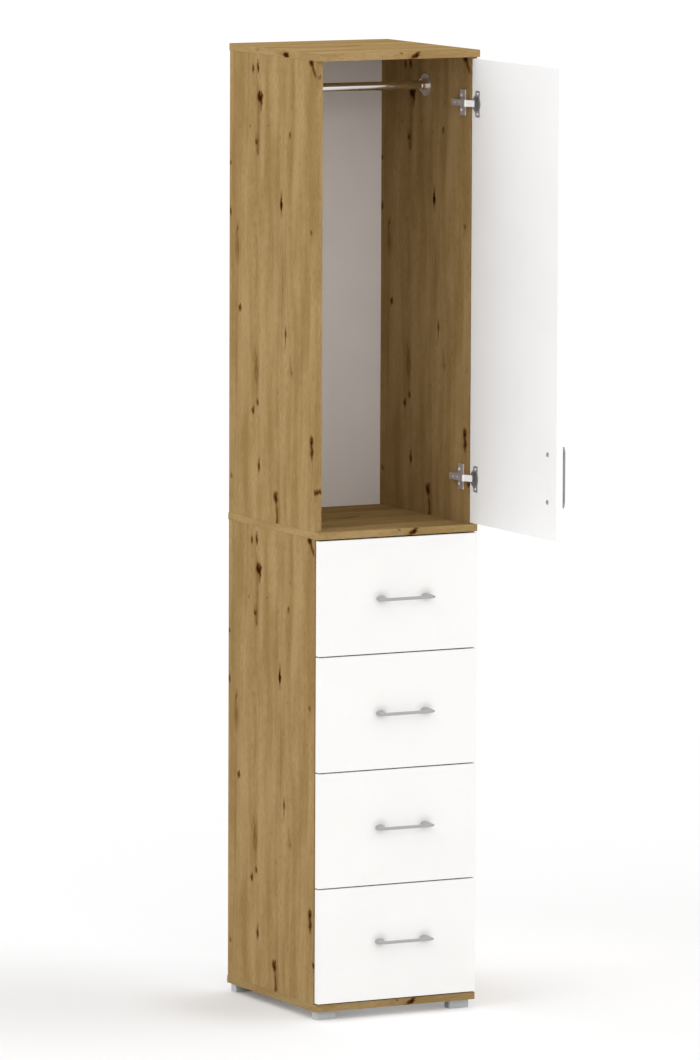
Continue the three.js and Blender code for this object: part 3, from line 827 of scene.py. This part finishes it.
def add_drawer_screws(number):
    drawer = f"drawer_{number}"
    front_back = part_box(f"{drawer}_front")[1].y
    handle = middle(f"{drawer}_handle")
    for side, way in SIDES.items():
        place = (handle.x + way * HANDLE_SCREW_SPACING / 2, front_back, handle.z)
        matrix = facing(place, TO_BACK, DRAWER_SCREW_SPIN + number)
        add_piece(f"{drawer}_screw_{side}", handle_screw, drawer, matrix)


# Screws of the wooden runners, sunk nearly flush
RUNNER_SCREW_SHARES = (0.12, 0.5, 0.88)
RUNNER_SCREW_SPIN = 0.4
runner_screw = screw_mesh("runner_screw", RUNNER_HEAD, screw_steel)


def add_runner_screws(number):
    for side, way in SIDES.items():
        runner = f"runner_{number}_{side}"
        low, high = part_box(runner)
        inner = high.x if side == "left" else low.x
        for index, share in enumerate(RUNNER_SCREW_SHARES):
            place = (inner, low.y + (high.y - low.y) * share, (low.z + high.z) / 2)
            matrix = facing(place, (-way, 0, 0), RUNNER_SCREW_SPIN * index)
            add_piece(f"{runner}_screw_{index + 1}", runner_screw, "cabinet", matrix)


for word in HINGES:
    add_hinge_screws(word)
for height in HEIGHTS:
    add_door_screw(height)
for number in DRAWERS:
    add_drawer_screws(number)
for number in DRAWERS:
    add_runner_screws(number)

# Handles: a slim bar that tapers to its tips, on two oval posts that lean out
HANDLE_LENGTH = 136 * MM
HANDLE_POST_SPACING = 112 * MM
HANDLE_REACH = 26.8 * MM
BAR_HALF_THICKNESS = 2.5 * MM
BAR_HALF_HEIGHT = 3.5 * MM
TIP_SHARE = 0.42
TIP_LEAST_SHARE = 0.04472
TIP_SETBACK = 0.5 * MM
# Half width and half height of a post, where it stands and at the bar
POST_FOOT = (12 * MM, 6.5 * MM)
POST_TOP = (7.2 * MM, 3.2 * MM)
POST_WAIST_SHARE = 0.1
POST_LEAN = 4.5 * MM
# The bar's section is squared off, a post's is a plain oval, and the bar's tips are blunt
BAR_POWER = 0.6
POST_POWER = 1
TIP_POWER = 16
BAR_STATIONS = 48
BAR_SEGMENTS = 28
POST_STATIONS = 16
POST_SEGMENTS = 44


def rounded(turn, power):
    """A point of a circle squared off by the power: 1 gives the circle itself."""
    cos = math.cos(turn)
    sin = math.sin(turn)
    return math.copysign(abs(cos) ** power, cos), math.copysign(abs(sin) ** power, sin)


def oval(bm, place, half_width, half_height, power, segments):
    """A ring of points around a place. Its half width and half height are vectors."""
    points = [rounded(turn, power) for turn in turns(segments)]
    return [bm.verts.new(place + half_width * across + half_height * up) for across, up in points]


def add_bar(bm):
    half = HANDLE_LENGTH / 2
    shoulder = HANDLE_POST_SPACING / 2
    rings = []
    for station in range(BAR_STATIONS + 1):
        x = half * math.sin(math.pi * (station / BAR_STATIONS - 1 / 2))
        beyond = max(0, (abs(x) - shoulder) / (half - shoulder))
        round_share = math.sqrt(max(0, 1 - beyond ** TIP_POWER))
        share = (1 - (1 - TIP_SHARE) * beyond) * max(TIP_LEAST_SHARE, round_share)
        place = Vector((x, BAR_HALF_THICKNESS - HANDLE_REACH + TIP_SETBACK * beyond, 0))
        half_width = Vector((0, BAR_HALF_THICKNESS * share, 0))
        half_height = Vector((0, 0, BAR_HALF_HEIGHT * share))
        rings.append(oval(bm, place, half_width, half_height, BAR_POWER, BAR_SEGMENTS))
    bridge(bm, rings)


def add_post(bm, way):
    rings = []
    for station in range(POST_STATIONS + 1):
        rise = station / POST_STATIONS
        waist = rise - POST_WAIST_SHARE * math.sin(math.pi * rise)
        x = way * (HANDLE_POST_SPACING / 2 + POST_LEAN * rise)
        place = Vector((x, (BAR_HALF_THICKNESS - HANDLE_REACH) * rise, 0))
        half_width = Vector((POST_FOOT[0] + (POST_TOP[0] - POST_FOOT[0]) * rise, 0, 0))
        half_height = Vector((0, 0, POST_FOOT[1] + (POST_TOP[1] - POST_FOOT[1]) * waist))
        rings.append(oval(bm, place, half_width, half_height, POST_POWER, POST_SEGMENTS))
    bridge(bm, rings)


def handle_mesh(material):
    """Lies along x with its back on y = 0 and stands out along -y."""
    bm = bmesh.new()
    add_bar(bm)
    for way in SIDES.values():
        add_post(bm, way)
    return finished_mesh("smooth_handle", bm, material)


def add_handle(body, mesh, place, turn=Matrix()):
    matrix = Matrix.Translation(place) @ turn
    handle = add_piece(f"{body}_smooth_handle", mesh, body, matrix)
    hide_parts(f"{body}_handle")


drawer_handle = handle_mesh(satin)
for number in DRAWERS:
    place = middle(f"drawer_{number}_handle")
    place.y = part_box(f"drawer_{number}_handle")[1].y
    add_handle(f"drawer_{number}", drawer_handle, place)
upright = Matrix(((0, -1, 0), (0, 0, -1), (1, 0, 0))).to_4x4()
place = middle("door_handle")
place.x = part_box("door_handle")[0].x
add_handle("door", handle_mesh(painted_shade_satin), place, upright)

# Floor: its tone and its glow change from the middle to the rim of a round pool
FLOOR_SIZE = 240
FLOOR_POOL_RADIUS = 10
FLOOR_NEAR = (0.77, 0.77, 0.77, 1)
FLOOR_FAR = (0.86, 0.86, 0.86, 1)
GLOW_NEAR = 0.135
GLOW_FAR = 0.175
# Each patch of painted light and shade in the floor's glow is (x, y, half width, half depth, change
# of light), lengths in millimetres: a rise is a painted pool of light, a fall a painted shadow
FLOOR_PAINTED_LIGHT_AND_SHADE = (
    (-800, 550, 900, 900, -0.11),
    (580, 330, 900, 900, 0.1),
    (0, 50, 350, 350, 0.17),
    (-330, 200, 200, 350, -0.08),
)


def seen_directly(shader):
    """1 for camera, glossy and transmission rays, 0 for rays that only light the scene."""
    path = shader.add("ShaderNodeLightPath").outputs
    seen = shader.math("MAXIMUM", path["Is Camera Ray"], path["Is Glossy Ray"])
    return shader.math("MAXIMUM", seen, path["Is Transmission Ray"])


def floor_material():
    material = bpy.data.materials.new("floor")
    material.use_nodes = True
    shader = Shader(material.node_tree)
    shader.tree.nodes.remove(shader.tree.nodes["Principled BSDF"])
    place = shader.add("ShaderNodeTexCoord").outputs["Object"]
    pool = shader.ball(shader.scaled(place, (1 / FLOOR_POOL_RADIUS, 1 / FLOOR_POOL_RADIUS, 0)))
    lit = shader.add("ShaderNodeBsdfDiffuse")
    shader.join(shader.mix(shader.ramp(pool, 0, 1), FLOOR_FAR, FLOOR_NEAR), lit.inputs["Color"])
    fill = shader.ramp(pool, 0, 1, GLOW_FAR, GLOW_NEAR)
    # Painted pools of light and painted shadows are added to the floor's glow
    for *spot, change in FLOOR_PAINTED_LIGHT_AND_SHADE:
        patch = spots(shader, place, ((*spot, 1, 0),))
        fill = shader.math("ADD", fill, shader.ramp(patch, 0, 1, 0, change))
    glow = shader.add("ShaderNodeEmission")
    shader.join(shader.math("MULTIPLY", seen_directly(shader), fill), glow.inputs["Strength"])
    both = shader.add("ShaderNodeAddShader")
    shader.join(lit.outputs[0], both.inputs[0])
    shader.join(glow.outputs[0], both.inputs[1])
    shader.join(both.outputs[0], shader.tree.nodes["Material Output"].inputs["Surface"])
    return material


def add_floor():
    bpy.ops.mesh.primitive_plane_add(size=FLOOR_SIZE)
    floor = bpy.context.object
    floor.name = "floor"
    floor.data.materials.append(floor_material())


# The studio's even light, and the white that shows behind the cupboard and in its metal
STUDIO_WHITE = (1, 1, 1, 1)
STUDIO_LIGHT = 0.99
BACKDROP_LIGHT = 1


def add_world():
    world = bpy.data.worlds.new("studio")
    bpy.context.scene.world = world
    world.use_nodes = True
    shader = Shader(world.node_tree)
    light = shader.tree.nodes["Background"]
    backdrop = shader.add("ShaderNodeBackground")
    for background, strength in ((light, STUDIO_LIGHT), (backdrop, BACKDROP_LIGHT)):
        background.inputs["Color"].default_value = STUDIO_WHITE
        background.inputs["Strength"].default_value = strength
    choice = shader.add("ShaderNodeMixShader")
    shader.join(seen_directly(shader), choice.inputs[0])
    shader.join(light.outputs[0], choice.inputs[1])
    shader.join(backdrop.outputs[0], choice.inputs[2])
    shader.join(choice.outputs[0], shader.tree.nodes["World Output"].inputs["Surface"])


# Each lamp is (name, place, diameter, power in watts)
LAMP_TARGET = Vector((0, 0, 1.1))
LAMPS = (
    ("left_lamp", (-7, -1, 8), 8, 179),
    ("front_lamp", (-2, -8, 4.5), 5, 74),
    ("right_lamp", (6, -6, 6), 5, 36),
)


def add_lamp(name, place, size, power):
    data = bpy.data.lights.new(name, "AREA")
    data.shape = "DISK"
    data.size = size
    data.energy = power
    lamp = bpy.data.objects.new(name, data)
    turn = (LAMP_TARGET - Vector(place)).to_track_quat("-Z", "Y").to_matrix().to_4x4()
    lamp.matrix_world = Matrix.Translation(place) @ turn
    bpy.context.scene.collection.objects.link(lamp)


add_floor()
add_world()
for lamp in LAMPS:
    add_lamp(*lamp)

bpy.context.scene.view_settings.view_transform = "Standard"
